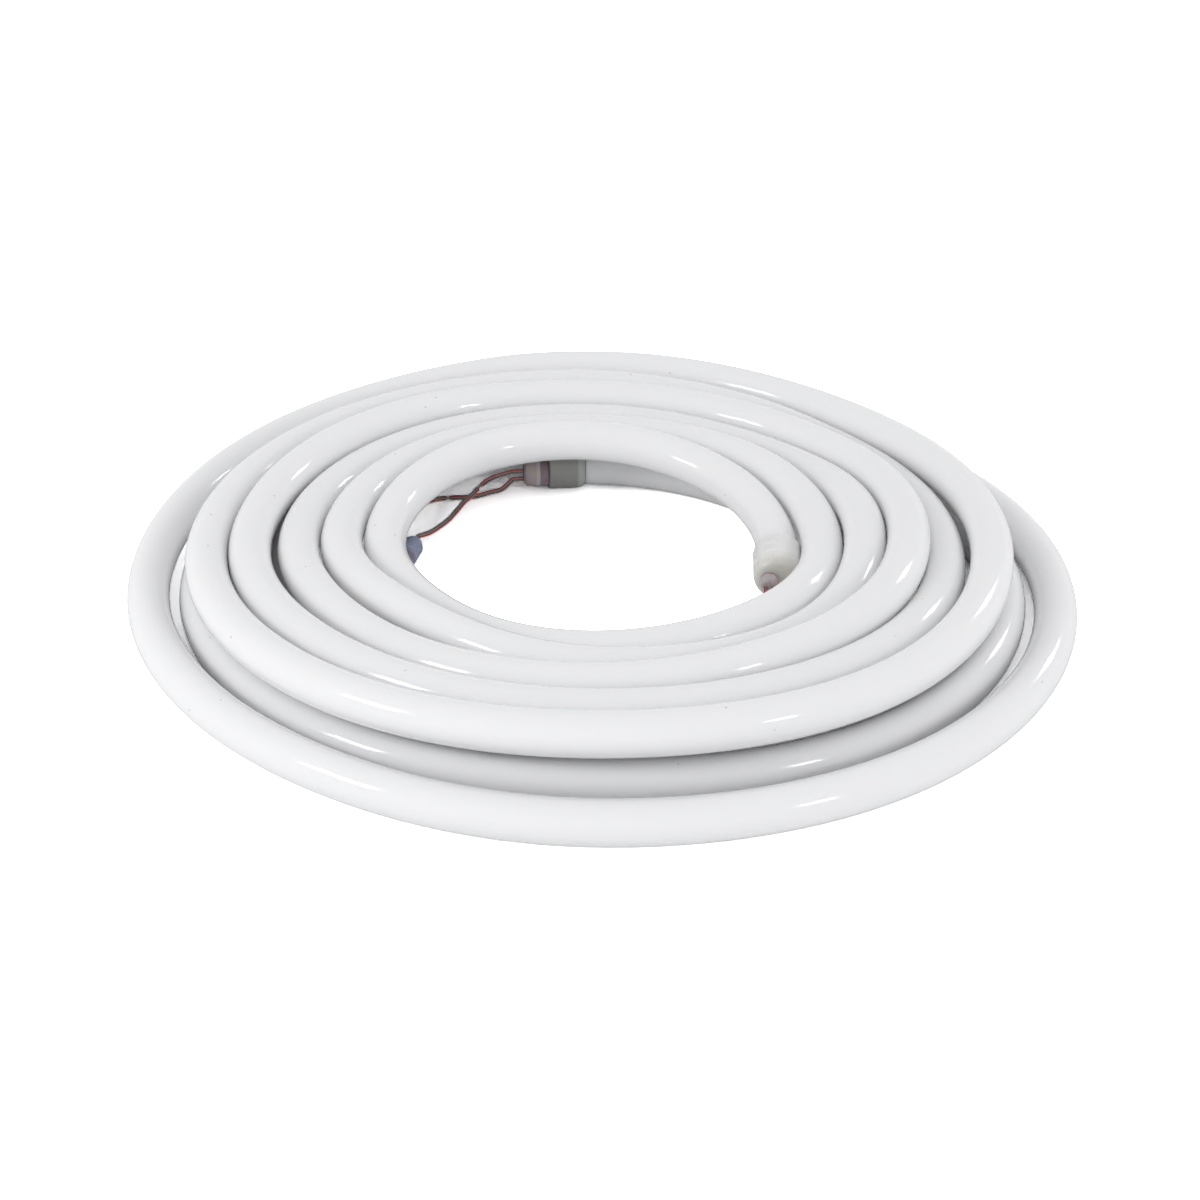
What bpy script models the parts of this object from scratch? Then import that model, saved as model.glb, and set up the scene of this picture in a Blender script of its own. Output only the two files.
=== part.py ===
"""LED neon flex: ten metres of round milky light tube, laid down in a loose two-layer coil.

The tube is one long extrusion. Each end wears a slip-on cap with a clear boot. Two twin leads leave
each boot, and each lead ends in a sealed connector.
The origin is on the floor, at the middle of the coil's outline. +Z is up and +X is to the right.
Lays, routes and plugs are measured from the coil's own middle, a few millimetres from the origin.
"""

import math

import bpy
import numpy as np
from mathutils import Vector

# Tube, in metres
TUBE_D = 0.025
TUBE_FLAT_W = 0.005        # width of the flat that the soft tube rests on
TURN_GAP = 0.0004          # between turns that lie against each other
SEAT_GAP = 0.0003          # between pieces that meet face to face
POINTS_PER_TURN = 40

# End caps
CAP_BORE_CLEAR = 0.0003
CAP_WALL = 0.002
CAP_GRIP = 0.014           # how far a cap slips over the tube
CAP_ROUND = 0.0045
TAIL_CAP_L = 0.029
FEED_CAP_L = 0.023
FEED_CAP_ROUND = 0.0015
FEED_CAP_TAPER = (0.0016, 0.005)   # how far its rim narrows, and over what length

# Clear boots: a small one on the tail cap and a full one on the feed cap
TAIL_BOOT_BASE_R = 0.0056
TAIL_BOOT_TIP_R = 0.0050
TAIL_BOOT_L = 0.0085
TAIL_BOOT_NECK_L = 0.0020
TAIL_BOOT_SIDE = 0.0055    # towards the eye, from the middle of the cap's end
TAIL_BOOT_RISE = 0.0015
FEED_BOOT_BASE_R = 0.0095
FEED_BOOT_TIP_R = 0.0080
FEED_BOOT_L = 0.016
FEED_BOOT_NECK_L = 0.0055
FEED_BOOT_SIDE = 0.0040
FEED_BOOT_DROP = -0.0025
BOOT_NECK_STEP = 0.0005

# Leads and connectors
LEAD_W = 0.0034
LEAD_STEP = 2.2            # in lead widths, between two points of a lead
LEAD_STRAIGHT = 1.8        # in lead widths, out of its boot
TAIL_LEADS_APART = 1.25    # in lead widths, side by side
FEED_LEADS_APART = 1.6     # one above the other
CONNECTOR_L = 0.037
CONNECTOR_NECK_R = 0.0032
CONNECTOR_BACK_R = 0.0053
CONNECTOR_BACK_L = 0.0070
CONNECTOR_R = 0.0070       # of the nut, over its rims
CONNECTOR_NUT_L = 0.0135
CONNECTOR_RIM_W = 0.0012
CONNECTOR_RIM_H = 0.0004
CONNECTOR_FRONT_R = 0.0063
CONNECTOR_EDGE = 0.0010

# The coil's lay. Each row is one turn, counter-clockwise from +X, at eight compass points.
# Reach is from the coil's middle and rise is above the floor layer, both in tube diameters.
COMPASS = 8
FIRST_STATION = -0.125     # in turns
TAIL_AT = -0.018           # in turns
COIL_STEPS = 332
FEED_END_L = 0.015         # the last straight before the feed end
REACH = (
    (4.40,),
    (4.34, 4.48, 4.68, 4.98, 5.03, 4.70, 5.15, 5.60),
    (5.50, 5.68, 5.67, 6.00, 6.08, 5.60, 6.15, 6.50),
    (6.34, 6.55, 6.72, 6.96, 6.92, 6.85, 7.20, 7.35),
    (7.25, 7.48, 7.65, 8.00, 8.18, 8.05, 8.25, 8.45),
    (8.18, 8.42, 8.60, 9.00, 9.10, 9.10, 9.25, 9.40),
    (9.28, 9.40, 10.02, 10.80, 10.57, 10.25, 10.60, 10.90),
    (10.77, 10.20, 9.80, 9.55, 9.40, 9.25, 9.06, 9.60),
    (9.65, 9.20, 8.75, 8.30, 7.45, 6.55, 6.12, 5.90),
    (5.70, 5.92, 6.05, 6.10),
)
RISE = (
    (0.28,),
    (0.60, 1.06, 1.42, 1.34, 0.95, 0.65, 0.85, 1.12),
    (1.00, 1.10, 1.16, 1.15, 1.00, 1.05, 1.05, 1.05),
    (1.30, 0.90, 1.01, 0.97, 0.85, 0.85, 1.20, 1.40),
    (1.40, 1.02, 1.17, 1.30, 1.10, 1.10, 1.20, 1.15),
    (0.85, 0.55, 1.00, 1.05, 1.00, 1.10, 1.28, 1.20),
    (1.20, 1.00, 0.95, 0.40, 0.10, 0, 0, 0),
    (0,) * COMPASS,
    (0,) * COMPASS,
    (0, 0, 0.10, 0.14),
)
EASE_ROUNDS = 320
EASE_STIFF_ROUNDS = 200    # rounds in which the tube's stiffness spreads each push along it
EASE_SPREAD = 0.05

# Where each lead runs after it leaves its boot, chosen by hand, in metres
FEED_LEAD_1 = (
    (-0.0664, 0.1325, 0.0140), (-0.0738, 0.1241, 0.0120), (-0.0786, 0.1167, 0.0098),
    (-0.0835, 0.1098, 0.0080), (-0.0880, 0.1005, 0.0062), (-0.0925, 0.0905, 0.0052),
    (-0.0980, 0.0800, 0.0054), (-0.1035, 0.0705, 0.0062),
)
FEED_LEAD_2 = (
    (-0.0600, 0.1350, 0.0050), (-0.0679, 0.1332, 0.0034), (-0.0755, 0.1304, 0.0024),
    (-0.0831, 0.1286, 0.0022), (-0.0914, 0.1280, 0.0022), (-0.0990, 0.1270, 0.0022),
    (-0.1080, 0.1220, 0.0022), (-0.1190, 0.1090, 0.0022), (-0.1280, 0.0900, 0.0022),
    (-0.1325, 0.0660, 0.0024), (-0.1325, 0.0440, 0.0040), (-0.1305, 0.0300, 0.0066),
)
TAIL_LEAD_1 = (
    (0.1015, -0.0495, 0.0205), (0.0995, -0.0570, 0.0130), (0.0960, -0.0645, 0.0060),
    (0.0895, -0.0725, 0.0028), (0.0825, -0.0790, 0.0034),
)
TAIL_LEAD_2 = (
    (0.0955, -0.0485, 0.0200), (0.0910, -0.0540, 0.0130), (0.0860, -0.0580, 0.0065),
    (0.0795, -0.0615, 0.0030), (0.0730, -0.0640, 0.0044),
)
PLUG_ENTRY = {
    "feed_1": ((-0.1110, 0.0575), (-0.22, -0.975)),
    "feed_2": ((-0.1280, 0.0130), (0.08, -1.00)),
    "tail_1": ((0.0675, -0.0880), (-0.94, -0.33)),
    "tail_2": ((0.0600, -0.0675), (-0.97, -0.26)),
}


def clear_scene():
    for old in list(bpy.data.objects):
        bpy.data.objects.remove(old, do_unlink=True)


def new_collection(name):
    collection = bpy.data.collections.new(name)
    bpy.context.scene.collection.children.link(collection)
    return collection


def make_material(name, color, roughness, transmission=0.0):
    material = bpy.data.materials.new(name)
    material.use_nodes = True
    shader = material.node_tree.nodes["Principled BSDF"]
    shader.inputs["Base Color"].default_value = (*color, 1)
    shader.inputs["Roughness"].default_value = roughness
    shader.inputs["Metallic"].default_value = 0
    shader.inputs["Transmission Weight"].default_value = transmission
    material.diffuse_color = (*color, 1)
    return material


def through_stations(stations, turns):
    """A smooth curve through evenly spaced stations, read at any turn."""
    at = (turns - FIRST_STATION) * COMPASS
    here = np.clip(np.floor(at).astype(int), 1, len(stations) - 3)
    before, start, end, after = (stations[here + step] for step in (-1, 0, 1, 2))
    part = at - here
    return 0.5 * (
        2 * start + (end - before) * part
        + (2 * before - 5 * start + 4 * end - after) * part ** 2
        + (3 * start - before - 3 * end + after) * part ** 3
    )


def lay_coil():
    """The tube's centreline as the lay asks for it, before neighbours are eased apart."""
    turns = TAIL_AT + np.arange(COIL_STEPS + 1) / POINTS_PER_TURN
    reach = through_stations(np.concatenate([np.array(turn) for turn in REACH]), turns) * TUBE_D
    rise = through_stations(np.concatenate([np.array(turn) for turn in RISE]), turns) * TUBE_D
    angle = 2 * math.pi * turns
    height = floor_height() + np.maximum(rise, 0)
    return np.stack([reach * np.cos(angle), reach * np.sin(angle), height], axis=1)


def floor_height():
    """Height of the tube's centreline where it rests on its flat."""
    return math.sqrt((TUBE_D / 2) ** 2 - (TUBE_FLAT_W / 2) ** 2)


def push_apart(path):
    """Half of what each pair of turns needs to lie clear of each other."""
    need = TUBE_D + TURN_GAP
    along = np.gradient(path, axis=0)
    along /= np.linalg.norm(along, axis=1)[:, None]
    push = np.zeros_like(path)
    for turn in range(POINTS_PER_TURN, len(path), POINTS_PER_TURN):
        for slide in (-1, 0, 1):
            step = min(turn + slide, len(path) - 1)
            apart = path[:-step] - path[step:]
            apart -= (apart * along[step:]).sum(axis=1)[:, None] * along[step:]
            gap = np.linalg.norm(apart, axis=1)
            short = np.where(gap < need, (need - gap) / gap, 0)[:, None] * apart / 3
            push[:-step] += short
            push[step:] -= short
    return push


def coil_path():
    """Turns that would meet are eased apart, sideways and up, as they are when a coil settles."""
    lay = lay_coil()
    shift = np.zeros_like(lay)
    for ease_round in range(EASE_ROUNDS):
        shift += push_apart(lay + shift)
        if ease_round < EASE_STIFF_ROUNDS:
            spread = EASE_SPREAD * (shift[:-2] + shift[2:])
            shift[1:-1] = (1 - 2 * EASE_SPREAD) * shift[1:-1] + spread
        shift[:, 2] = np.maximum(shift[:, 2], floor_height() - lay[:, 2])
    path = lay + shift
    last = path[-1] - path[-2]
    path[-1] = path[-2] + last / np.linalg.norm(last) * FEED_END_L
    return path


def tube_section(collection):
    """The round section with the small flat that it rests on."""
    flat = math.degrees(math.asin(TUBE_FLAT_W / TUBE_D))
    right = [-90 + flat, (-90 + flat) / 2, 0, 30, 60]
    degrees = [180 - angle for angle in right] + [90] + right[::-1]
    curve = bpy.data.curves.new("tube_section", "CURVE")
    curve.dimensions = "2D"
    spline = curve.splines.new("POLY")
    spline.points.add(len(degrees) - 1)
    for point, angle in zip(spline.points, degrees):
        turn = math.radians(angle)
        point.co = (TUBE_D / 2 * math.cos(turn), TUBE_D / 2 * math.sin(turn), 0, 1)
    spline.use_cyclic_u = True
    section = bpy.data.objects.new("tube_section", curve)
    section.hide_render = True
    section.display_type = "WIRE"
    collection.objects.link(section)
    return section


def swept(name, points, collection, material, section=None, radius=0.0):
    """A tube along the points, with filled ends."""
    curve = bpy.data.curves.new(name, "CURVE")
    curve.dimensions = "3D"
    curve.twist_mode = "Z_UP"
    spline = curve.splines.new("POLY")
    spline.points.add(len(points) - 1)
    for point, place in zip(spline.points, points):
        point.co = (*place, 1)
    spline.use_smooth = True
    if section:
        curve.bevel_mode = "OBJECT"
        curve.bevel_object = section
    else:
        curve.bevel_depth = radius
        curve.bevel_resolution = 2
    curve.use_fill_caps = True
    curve.materials.append(material)
    piece = bpy.data.objects.new(name, curve)
    collection.objects.link(piece)
    return piece


def turned(name, profile, at, heading, collection, material, steps=20):
    """A profile of (radius, height), outer side from top to bottom, spun about the heading."""
    mesh = bpy.data.meshes.new(name)
    vertices = [(radius, 0, height) for radius, height in profile]
    mesh.from_pydata(vertices, [(k, k + 1) for k in range(len(profile) - 1)], [])
    mesh.materials.append(material)
    piece = bpy.data.objects.new(name, mesh)
    collection.objects.link(piece)
    spin = piece.modifiers.new("spin", "SCREW")
    spin.angle = 2 * math.pi
    spin.steps = steps
    spin.render_steps = steps
    spin.use_merge_vertices = True
    spin.merge_threshold = 0.00001
    spin.use_smooth_shade = True
    piece.location = at
    piece.rotation_mode = "QUATERNION"
    piece.rotation_quaternion = Vector(heading).normalized().to_track_quat("Z", "Y")
    return piece


def quarter_round(centre_radius, centre_height, size, count=3):
    """Points of a convex shoulder, from the end face round to the side."""
    turns = [math.pi / 2 * (1 - k / count) for k in range(count + 1)]
    return [(centre_radius + size * math.cos(t), centre_height + size * math.sin(t)) for t in turns]


def cap_radius():
    return TUBE_D / 2 + CAP_BORE_CLEAR + CAP_WALL


def add_cap(name, length, shoulder, taper, tube_end, heading, collection, material):
    """A slip-on cap over the tube's end. Returns the middle of its end face."""
    outer = cap_radius()
    bore = TUBE_D / 2 + CAP_BORE_CLEAR
    drop, run = taper
    profile = [(0, length)]
    profile += quarter_round(outer - shoulder, length - shoulder, shoulder)
    profile += [(outer, run), (outer - drop * 0.3, run * 0.35), (outer - drop, 0)]
    profile += [(bore, 0), (bore, CAP_GRIP), (0, CAP_GRIP)]
    rim = tube_end - heading * (CAP_GRIP - SEAT_GAP)
    turned(name, profile, rim, heading, collection, material, steps=24)
    return rim + heading * length


def end_axes(path, end):
    """Where the tube stops, its outward direction there, and the level direction across it."""
    if end == "tail":
        stop, inner = path[0], path[1]
    else:
        stop, inner = path[-1], path[-2]
    heading = Vector(stop - inner).normalized()
    across = heading.cross(Vector((0, 0, 1))).normalized()
    return Vector(stop), heading, across


def boot_profile(base, tip, length, neck):
    """A neck at the cap, then a sleeve that narrows to a rounded end."""
    shoulder = tip / 3
    profile = [(0, length)] + quarter_round(tip - shoulder, length - shoulder, shoulder)
    step = base - BOOT_NECK_STEP
    return profile + [(base, neck + BOOT_NECK_STEP), (step, neck), (step, 0), (0, 0)]


def connector_profile():
    """A sealed plug: rounded back, nut between two rims, and a plain front."""
    back = CONNECTOR_L - CONNECTOR_BACK_L
    nut = back - CONNECTOR_NUT_L
    hollow = CONNECTOR_R - CONNECTOR_RIM_H
    shoulder = CONNECTOR_BACK_R - CONNECTOR_NECK_R
    rounded = quarter_round(CONNECTOR_NECK_R, CONNECTOR_L - shoulder, shoulder)
    return [(0, CONNECTOR_L), *rounded] + [
        (CONNECTOR_BACK_R, back),
        (CONNECTOR_R, back - CONNECTOR_RIM_H),
        (CONNECTOR_R, back - CONNECTOR_RIM_W),
        (hollow, back - CONNECTOR_RIM_W - CONNECTOR_RIM_H),
        (hollow, nut + CONNECTOR_RIM_W + CONNECTOR_RIM_H),
        (CONNECTOR_R, nut + CONNECTOR_RIM_W),
        (CONNECTOR_R, nut),
        (CONNECTOR_FRONT_R, nut - CONNECTOR_RIM_H),
        (CONNECTOR_FRONT_R, CONNECTOR_EDGE),
        (CONNECTOR_FRONT_R - CONNECTOR_EDGE, 0),
        (0, 0),
    ]


def plug_entry(which):
    """The point and the level heading at which a lead runs into its plug."""
    (x, y), (along_x, along_y) = PLUG_ENTRY[which]
    return Vector((x, y, CONNECTOR_R + SEAT_GAP)), Vector((along_x, along_y, 0)).normalized()


def add_connector(which, collection, material):
    """The plug's neck meets the lead's end, and its body runs on along the lead's heading."""
    end, line = plug_entry(which)
    side, number = which.split("_")
    front = end + line * (CONNECTOR_L + SEAT_GAP)
    turned(f"{side}_connector_{number}", connector_profile(), front, -line, collection, material, 16)


def smooth_route(points):
    """Evenly spaced points on a smooth curve through the route's own points."""
    knots = np.array([tuple(point) for point in points])
    ends = np.vstack([2 * knots[0] - knots[1], knots, 2 * knots[-1] - knots[-2]])
    fine = []
    for k in range(1, len(ends) - 2):
        before, start, end, after = ends[k - 1:k + 3]
        for part in np.arange(16) / 16:
            fine.append(0.5 * (
                2 * start + (end - before) * part
                + (2 * before - 5 * start + 4 * end - after) * part ** 2
                + (3 * start - before - 3 * end + after) * part ** 3
            ))
    fine = np.array(fine + [knots[-1]])
    length = np.concatenate([[0], np.cumsum(np.linalg.norm(np.diff(fine, axis=0), axis=1))])
    count = max(2, round(length[-1] / (LEAD_STEP * LEAD_W)))
    stops = np.linspace(0, length[-1], count + 1)
    return np.stack([np.interp(stops, length, fine[:, k]) for k in range(3)], axis=1)


def add_lead(which, exit_point, heading, route, collection, material):
    """A lead leaves its boot straight, follows its route and runs straight into its plug."""
    start = exit_point + heading * SEAT_GAP
    end, line = plug_entry(which)
    reach = LEAD_W * LEAD_STRAIGHT
    points = smooth_route([start + heading * reach, *map(Vector, route), end - line * reach])
    side, number = which.split("_")
    points = [start, *points, end]
    return swept(f"{side}_lead_{number}", points, collection, material, radius=LEAD_W / 2)


def stand_on_origin(path, collection):
    """Hang every piece on an empty that brings the middle of the coil's outline to the origin."""
    spot = bpy.data.objects.new("floor_spot", None)
    middle = (path.min(axis=0) + path.max(axis=0)) / 2
    spot.location = (-middle[0], -middle[1], 0)
    for piece in list(collection.objects):
        piece.parent = spot
    collection.objects.link(spot)


def build():
    clear_scene()
    parts = new_collection("led_neon_flex")
    guides = new_collection("guides")

    flex = make_material("milky_flex", (0.86, 0.87, 0.87), 0.28)
    white_cap = make_material("white_cap", (0.84, 0.84, 0.82), 0.4)
    grey_cap = make_material("grey_cap", (0.55, 0.58, 0.56), 0.4)
    clear_boot = make_material("clear_boot", (0.75, 0.68, 0.66), 0.25, 0.5)
    red_lead = make_material("twin_lead", (0.32, 0.10, 0.11), 0.45)
    blue_plug = make_material("blue_plug", (0.28, 0.32, 0.45), 0.3, 0.2)

    path = coil_path()
    swept("flex_tube", path, parts, flex, section=tube_section(guides))

    stop, heading, across = end_axes(path, "tail")
    chamfer = (CAP_WALL / 3, CAP_WALL / 3)
    face = add_cap("tail_cap", TAIL_CAP_L, CAP_ROUND, chamfer, stop, heading, parts, white_cap)
    base = face + heading * SEAT_GAP + across * TAIL_BOOT_SIDE
    base += across.cross(heading) * TAIL_BOOT_RISE
    profile = boot_profile(TAIL_BOOT_BASE_R, TAIL_BOOT_TIP_R, TAIL_BOOT_L, TAIL_BOOT_NECK_L)
    turned("tail_boot", profile, base, heading, parts, clear_boot, steps=16)
    tip = base + heading * TAIL_BOOT_L
    for k, route in enumerate((TAIL_LEAD_1, TAIL_LEAD_2)):
        side = across * (LEAD_W * TAIL_LEADS_APART * (k - 0.5))
        add_lead(f"tail_{k + 1}", tip + side, heading, route, parts, red_lead)
        add_connector(f"tail_{k + 1}", parts, blue_plug)

    stop, heading, across = end_axes(path, "feed")
    face = add_cap("feed_cap", FEED_CAP_L, FEED_CAP_ROUND, FEED_CAP_TAPER, stop, heading, parts, grey_cap)
    toward_eye = -across if across.dot(stop) > 0 else across
    base = face + heading * SEAT_GAP + toward_eye * FEED_BOOT_SIDE + Vector((0, 0, FEED_BOOT_DROP))
    profile = boot_profile(FEED_BOOT_BASE_R, FEED_BOOT_TIP_R, FEED_BOOT_L, FEED_BOOT_NECK_L)
    turned("feed_boot", profile, base, heading, parts, clear_boot, steps=16)
    tip = base + heading * FEED_BOOT_L
    for k, route in enumerate((FEED_LEAD_1, FEED_LEAD_2)):
        drop = Vector((0, 0, LEAD_W * FEED_LEADS_APART * (0.5 - k)))
        add_lead(f"feed_{k + 1}", tip + toward_eye * LEAD_W + drop, heading, route, parts, red_lead)
        add_connector(f"feed_{k + 1}", parts, blue_plug)

    stand_on_origin(path, parts)


build()
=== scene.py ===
"""Looks of a coiled LED neon flex.

A round milky light tube lies in a loose two-layer coil. Each end wears a slip-on cap with a clear boot.
Two thin twin leads leave each boot and end in sealed, ribbed plugs. Sizes are in metres.
"""

import math

import bmesh
import bpy
import numpy as np
from bpy.props import FloatProperty, FloatVectorProperty, IntProperty, PointerProperty
from bpy.types import Operator, Panel, PropertyGroup
from mathutils import Matrix, Vector


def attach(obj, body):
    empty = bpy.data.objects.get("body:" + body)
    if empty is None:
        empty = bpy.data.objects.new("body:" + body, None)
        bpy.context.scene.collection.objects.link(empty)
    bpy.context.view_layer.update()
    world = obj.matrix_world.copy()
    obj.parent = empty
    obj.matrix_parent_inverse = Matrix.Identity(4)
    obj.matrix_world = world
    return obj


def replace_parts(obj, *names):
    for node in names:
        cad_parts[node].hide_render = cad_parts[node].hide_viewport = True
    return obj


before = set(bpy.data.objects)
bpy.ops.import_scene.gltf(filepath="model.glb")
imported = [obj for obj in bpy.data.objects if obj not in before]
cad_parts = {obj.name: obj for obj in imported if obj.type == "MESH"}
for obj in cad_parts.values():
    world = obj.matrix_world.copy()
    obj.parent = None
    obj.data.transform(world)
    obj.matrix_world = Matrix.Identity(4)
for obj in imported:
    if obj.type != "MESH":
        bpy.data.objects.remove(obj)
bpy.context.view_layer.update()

bl_info = {
    "name": "LED Neon Flex",
    "version": (1, 0, 0),
    "blender": (4, 5, 0),
    "location": "View3D > Sidebar > Neon Flex",
    "description": "Dresses a coiled neon flex: milky tube, caps, boots, twin leads and sealed plugs",
    "category": "Add Mesh",
}

BODY = "root"

# The coil's lay. Each row is one turn, counter-clockwise from +X, at eight compass points.
# Reach is from the coil's middle and rise is above the floor layer, both in tube diameters.
COMPASS = 8
FIRST_STATION = -0.125
TAIL_AT = -0.018
COIL_STEPS = 332
POINTS_PER_TURN = 40
REACH = (
    (4.40,),
    (4.34, 4.48, 4.68, 4.98, 5.03, 4.70, 5.15, 5.60),
    (5.50, 5.68, 5.67, 6.00, 6.08, 5.60, 6.15, 6.50),
    (6.34, 6.55, 6.72, 6.96, 6.92, 6.85, 7.20, 7.35),
    (7.25, 7.48, 7.65, 8.00, 8.18, 8.05, 8.25, 8.45),
    (8.18, 8.42, 8.60, 9.00, 9.10, 9.10, 9.25, 9.40),
    (9.28, 9.40, 10.02, 10.80, 10.57, 10.25, 10.60, 10.90),
    (10.77, 10.20, 9.80, 9.55, 9.40, 9.25, 9.06, 9.60),
    (9.65, 9.20, 8.75, 8.30, 7.45, 6.55, 6.12, 5.90),
    (5.70, 5.92, 6.05, 6.10),
)
RISE = (
    (0.28,),
    (0.60, 1.06, 1.42, 1.34, 0.95, 0.65, 0.85, 1.12),
    (1.00, 1.10, 1.16, 1.15, 1.00, 1.05, 1.05, 1.05),
    (1.30, 0.90, 1.01, 0.97, 0.85, 0.85, 1.20, 1.40),
    (1.40, 1.02, 1.17, 1.30, 1.10, 1.10, 1.20, 1.15),
    (0.85, 0.55, 1.00, 1.05, 1.00, 1.10, 1.28, 1.20),
    (1.20, 1.00, 0.95, 0.40, 0.10, 0, 0, 0),
    (0,) * COMPASS,
    (0,) * COMPASS,
    (0, 0, 0.10, 0.14),
)
EASE_ROUNDS = 320
EASE_STIFF_ROUNDS = 200
EASE_SPREAD = 0.05
NEIGHBOUR_SLIDES = (-1, 0, 1)
TURN_GAP = 0.0004
SEAT_GAP = 0.0003
FEED_END_L = 0.015

# Where each lead runs after its boot, chosen one by one, measured from the coil's middle
LEAD_ROUTES = {
    "feed_1": (
        (-0.0664, 0.1325, 0.0140), (-0.0738, 0.1241, 0.0120), (-0.0786, 0.1167, 0.0098),
        (-0.0835, 0.1098, 0.0080), (-0.0880, 0.1005, 0.0062), (-0.0925, 0.0905, 0.0052),
        (-0.0980, 0.0800, 0.0054), (-0.1035, 0.0705, 0.0062),
    ),
    "feed_2": (
        (-0.0600, 0.1350, 0.0050), (-0.0679, 0.1332, 0.0034), (-0.0755, 0.1304, 0.0024),
        (-0.0831, 0.1286, 0.0022), (-0.0914, 0.1280, 0.0022), (-0.0990, 0.1270, 0.0022),
        (-0.1080, 0.1220, 0.0022), (-0.1190, 0.1090, 0.0022), (-0.1280, 0.0900, 0.0022),
        (-0.1325, 0.0660, 0.0024), (-0.1325, 0.0440, 0.0040), (-0.1305, 0.0300, 0.0066),
    ),
    "tail_1": (
        (0.1015, -0.0495, 0.0205), (0.0995, -0.0570, 0.0130), (0.0960, -0.0645, 0.0060),
        (0.0895, -0.0725, 0.0028), (0.0825, -0.0790, 0.0034),
    ),
    "tail_2": (
        (0.0955, -0.0485, 0.0200), (0.0910, -0.0540, 0.0130), (0.0860, -0.0580, 0.0065),
        (0.0795, -0.0615, 0.0030), (0.0730, -0.0640, 0.0044),
    ),
}
PLUG_ENTRY = {
    "feed_1": ((-0.1110, 0.0575), (-0.22, -0.975)),
    "feed_2": ((-0.1280, 0.0130), (0.08, -1.00)),
    "tail_1": ((0.0675, -0.0880), (-0.94, -0.33)),
    "tail_2": ((0.0600, -0.0675), (-0.97, -0.26)),
}

# Between the two leads of a boot, in lead widths: side by side at the tail, stacked at the feed
LEADS_APART = {"tail": 1.25, "feed": 1.6}
# Where along its run a lead turns over, and how sharply
LEAD_FLIPS = {"feed_1": 0.24, "feed_2": 0.42, "tail_1": 0.60, "tail_2": 0.55}
FLIP_RATE = 100
LEAD_FINESSE = 5
CORE_POINTS = 10
# A core's outline stops this far on its way to the lead's middle, and a web joins the two
WEB_AT = 0.92
# Where the leads run inside the feed boot, in shares of its length back from its end
INNER_LEAD_RUN = (0.95, 0.65, 0.35, 0.05)

# Faces around the turned pieces, and the angles beyond which an edge looks sharp
CAP_SIDES = 96
SMALL_SIDES = 72
TURNED_SHARP = math.radians(40)
SWEPT_SHARP = math.radians(50)
TURNED_WELD = 0.00001
SWEPT_WELD = 0.000001

# Small forms, as shares of a cap's wall, a bead of sealant, the feed cap's narrowing and rim,
# a boot's tip, a corner's shorter side and a plug's rim height
LIP_OF_WALL = 1 / 3
SEALANT_OF_WALL = 0.2
SEALANT_LENGTH = 1.6
RIM_BEND = (0.3, 0.35)
SLEEVE_ROUND = 0.53333
CORNER_LIMIT = 0.49
RIB_RISE = 1.6

# Dust on the tube: cells in a metre, how much of a cell its speck takes, and its colour
SPECK_SCALE = 55
SPECK_SIZE = 0.035
SPECK_COLOUR = (0.60, 0.59, 0.57)

SOFT_PLASTIC_IOR = 1.42
SENSOR_WIDTH = 36
FLOOR_REACH = 12
FLOOR_DROP = 0.0002
SOFTBOX_DISTANCE = 2.0
# Softboxes: name, azimuth from +X and elevation in degrees, width, height, share of the power
SOFTBOXES = (
    ("softbox_back_right", 38, 25, 0.26, 0.26, 1.0),
    ("softbox_front_left", -153, 28, 0.50, 0.35, 2.4),
    ("softbox_front_right", -46, 24, 0.24, 0.20, 1.2),
)
# The tent's light by height: brightest low down, all round
TENT = ((0.0, (0.99, 0.992, 1.0)), (0.25, (0.82, 0.822, 0.83)), (1.0, (0.62, 0.622, 0.63)))


def number_prop(name, description, default, **more):
    return FloatProperty(name=name, description=description, default=default, **more)


def length_prop(name, description, default):
    return number_prop(name, description, default, min=0, precision=5, unit="LENGTH")


def count_prop(name, description, default, least):
    return IntProperty(name=name, description=description, default=default, min=least)


def colour_prop(name, description, default):
    return FloatVectorProperty(
        name=name, description=description, default=default, min=0, max=1, size=3, subtype="COLOR"
    )


class TubeSettings(PropertyGroup):
    diameter: length_prop("Diameter", "Outside diameter of the tube", 0.025)
    flat_width: length_prop("Resting flat", "Width of the flat that the tube rests on", 0.005)
    sides: count_prop("Sides", "Faces around the tube", 48, 8)
    finesse: count_prop("Finesse", "Steps between two route points", 4, 1)
    colour: colour_prop("Milk", "Colour of the milky tube", (0.885, 0.887, 0.895))


class CapSettings(PropertyGroup):
    clearance: length_prop("Clearance", "Between the tube and the cap's bore", 0.0003)
    wall: length_prop("Wall", "Thickness of the cap's wall", 0.002)
    grip: length_prop("Grip", "How far a cap slips over the tube", 0.014)
    tail_length: length_prop("Tail cap length", "From rim to end face", 0.029)
    tail_round: length_prop("Tail cap shoulder", "Radius of the tail cap's shoulder", 0.0075)
    feed_length: length_prop("Feed cap length", "From rim to end face", 0.023)
    feed_round: length_prop("Feed cap shoulder", "Radius of the feed cap's shoulder", 0.0015)
    feed_taper: length_prop("Feed cap taper", "Length of the rim that narrows to the tube", 0.005)
    feed_drop: length_prop("Feed cap narrowing", "How far that rim narrows", 0.0016)
    tail_colour: colour_prop("Tail cap", "Colour of the milky cap", (0.83, 0.83, 0.82))
    # Painted shade: the tail cap's end is darker and warmer, standing in for the shade of its boot and
    # of the turn in front of it
    tail_painted_shade: colour_prop("Tail cap end", "Warm shade of its end", (0.68, 0.665, 0.61))
    # The feed cap's dark grey is painted shade, for the deep shade it lies in under the upper turns
    feed_painted_shade: colour_prop("Feed cap", "Colour of the grey cap", (0.31, 0.315, 0.295))
    feed_rim: colour_prop("Feed cap rim", "Colour of its thin rim", (0.44, 0.47, 0.44))


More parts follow.
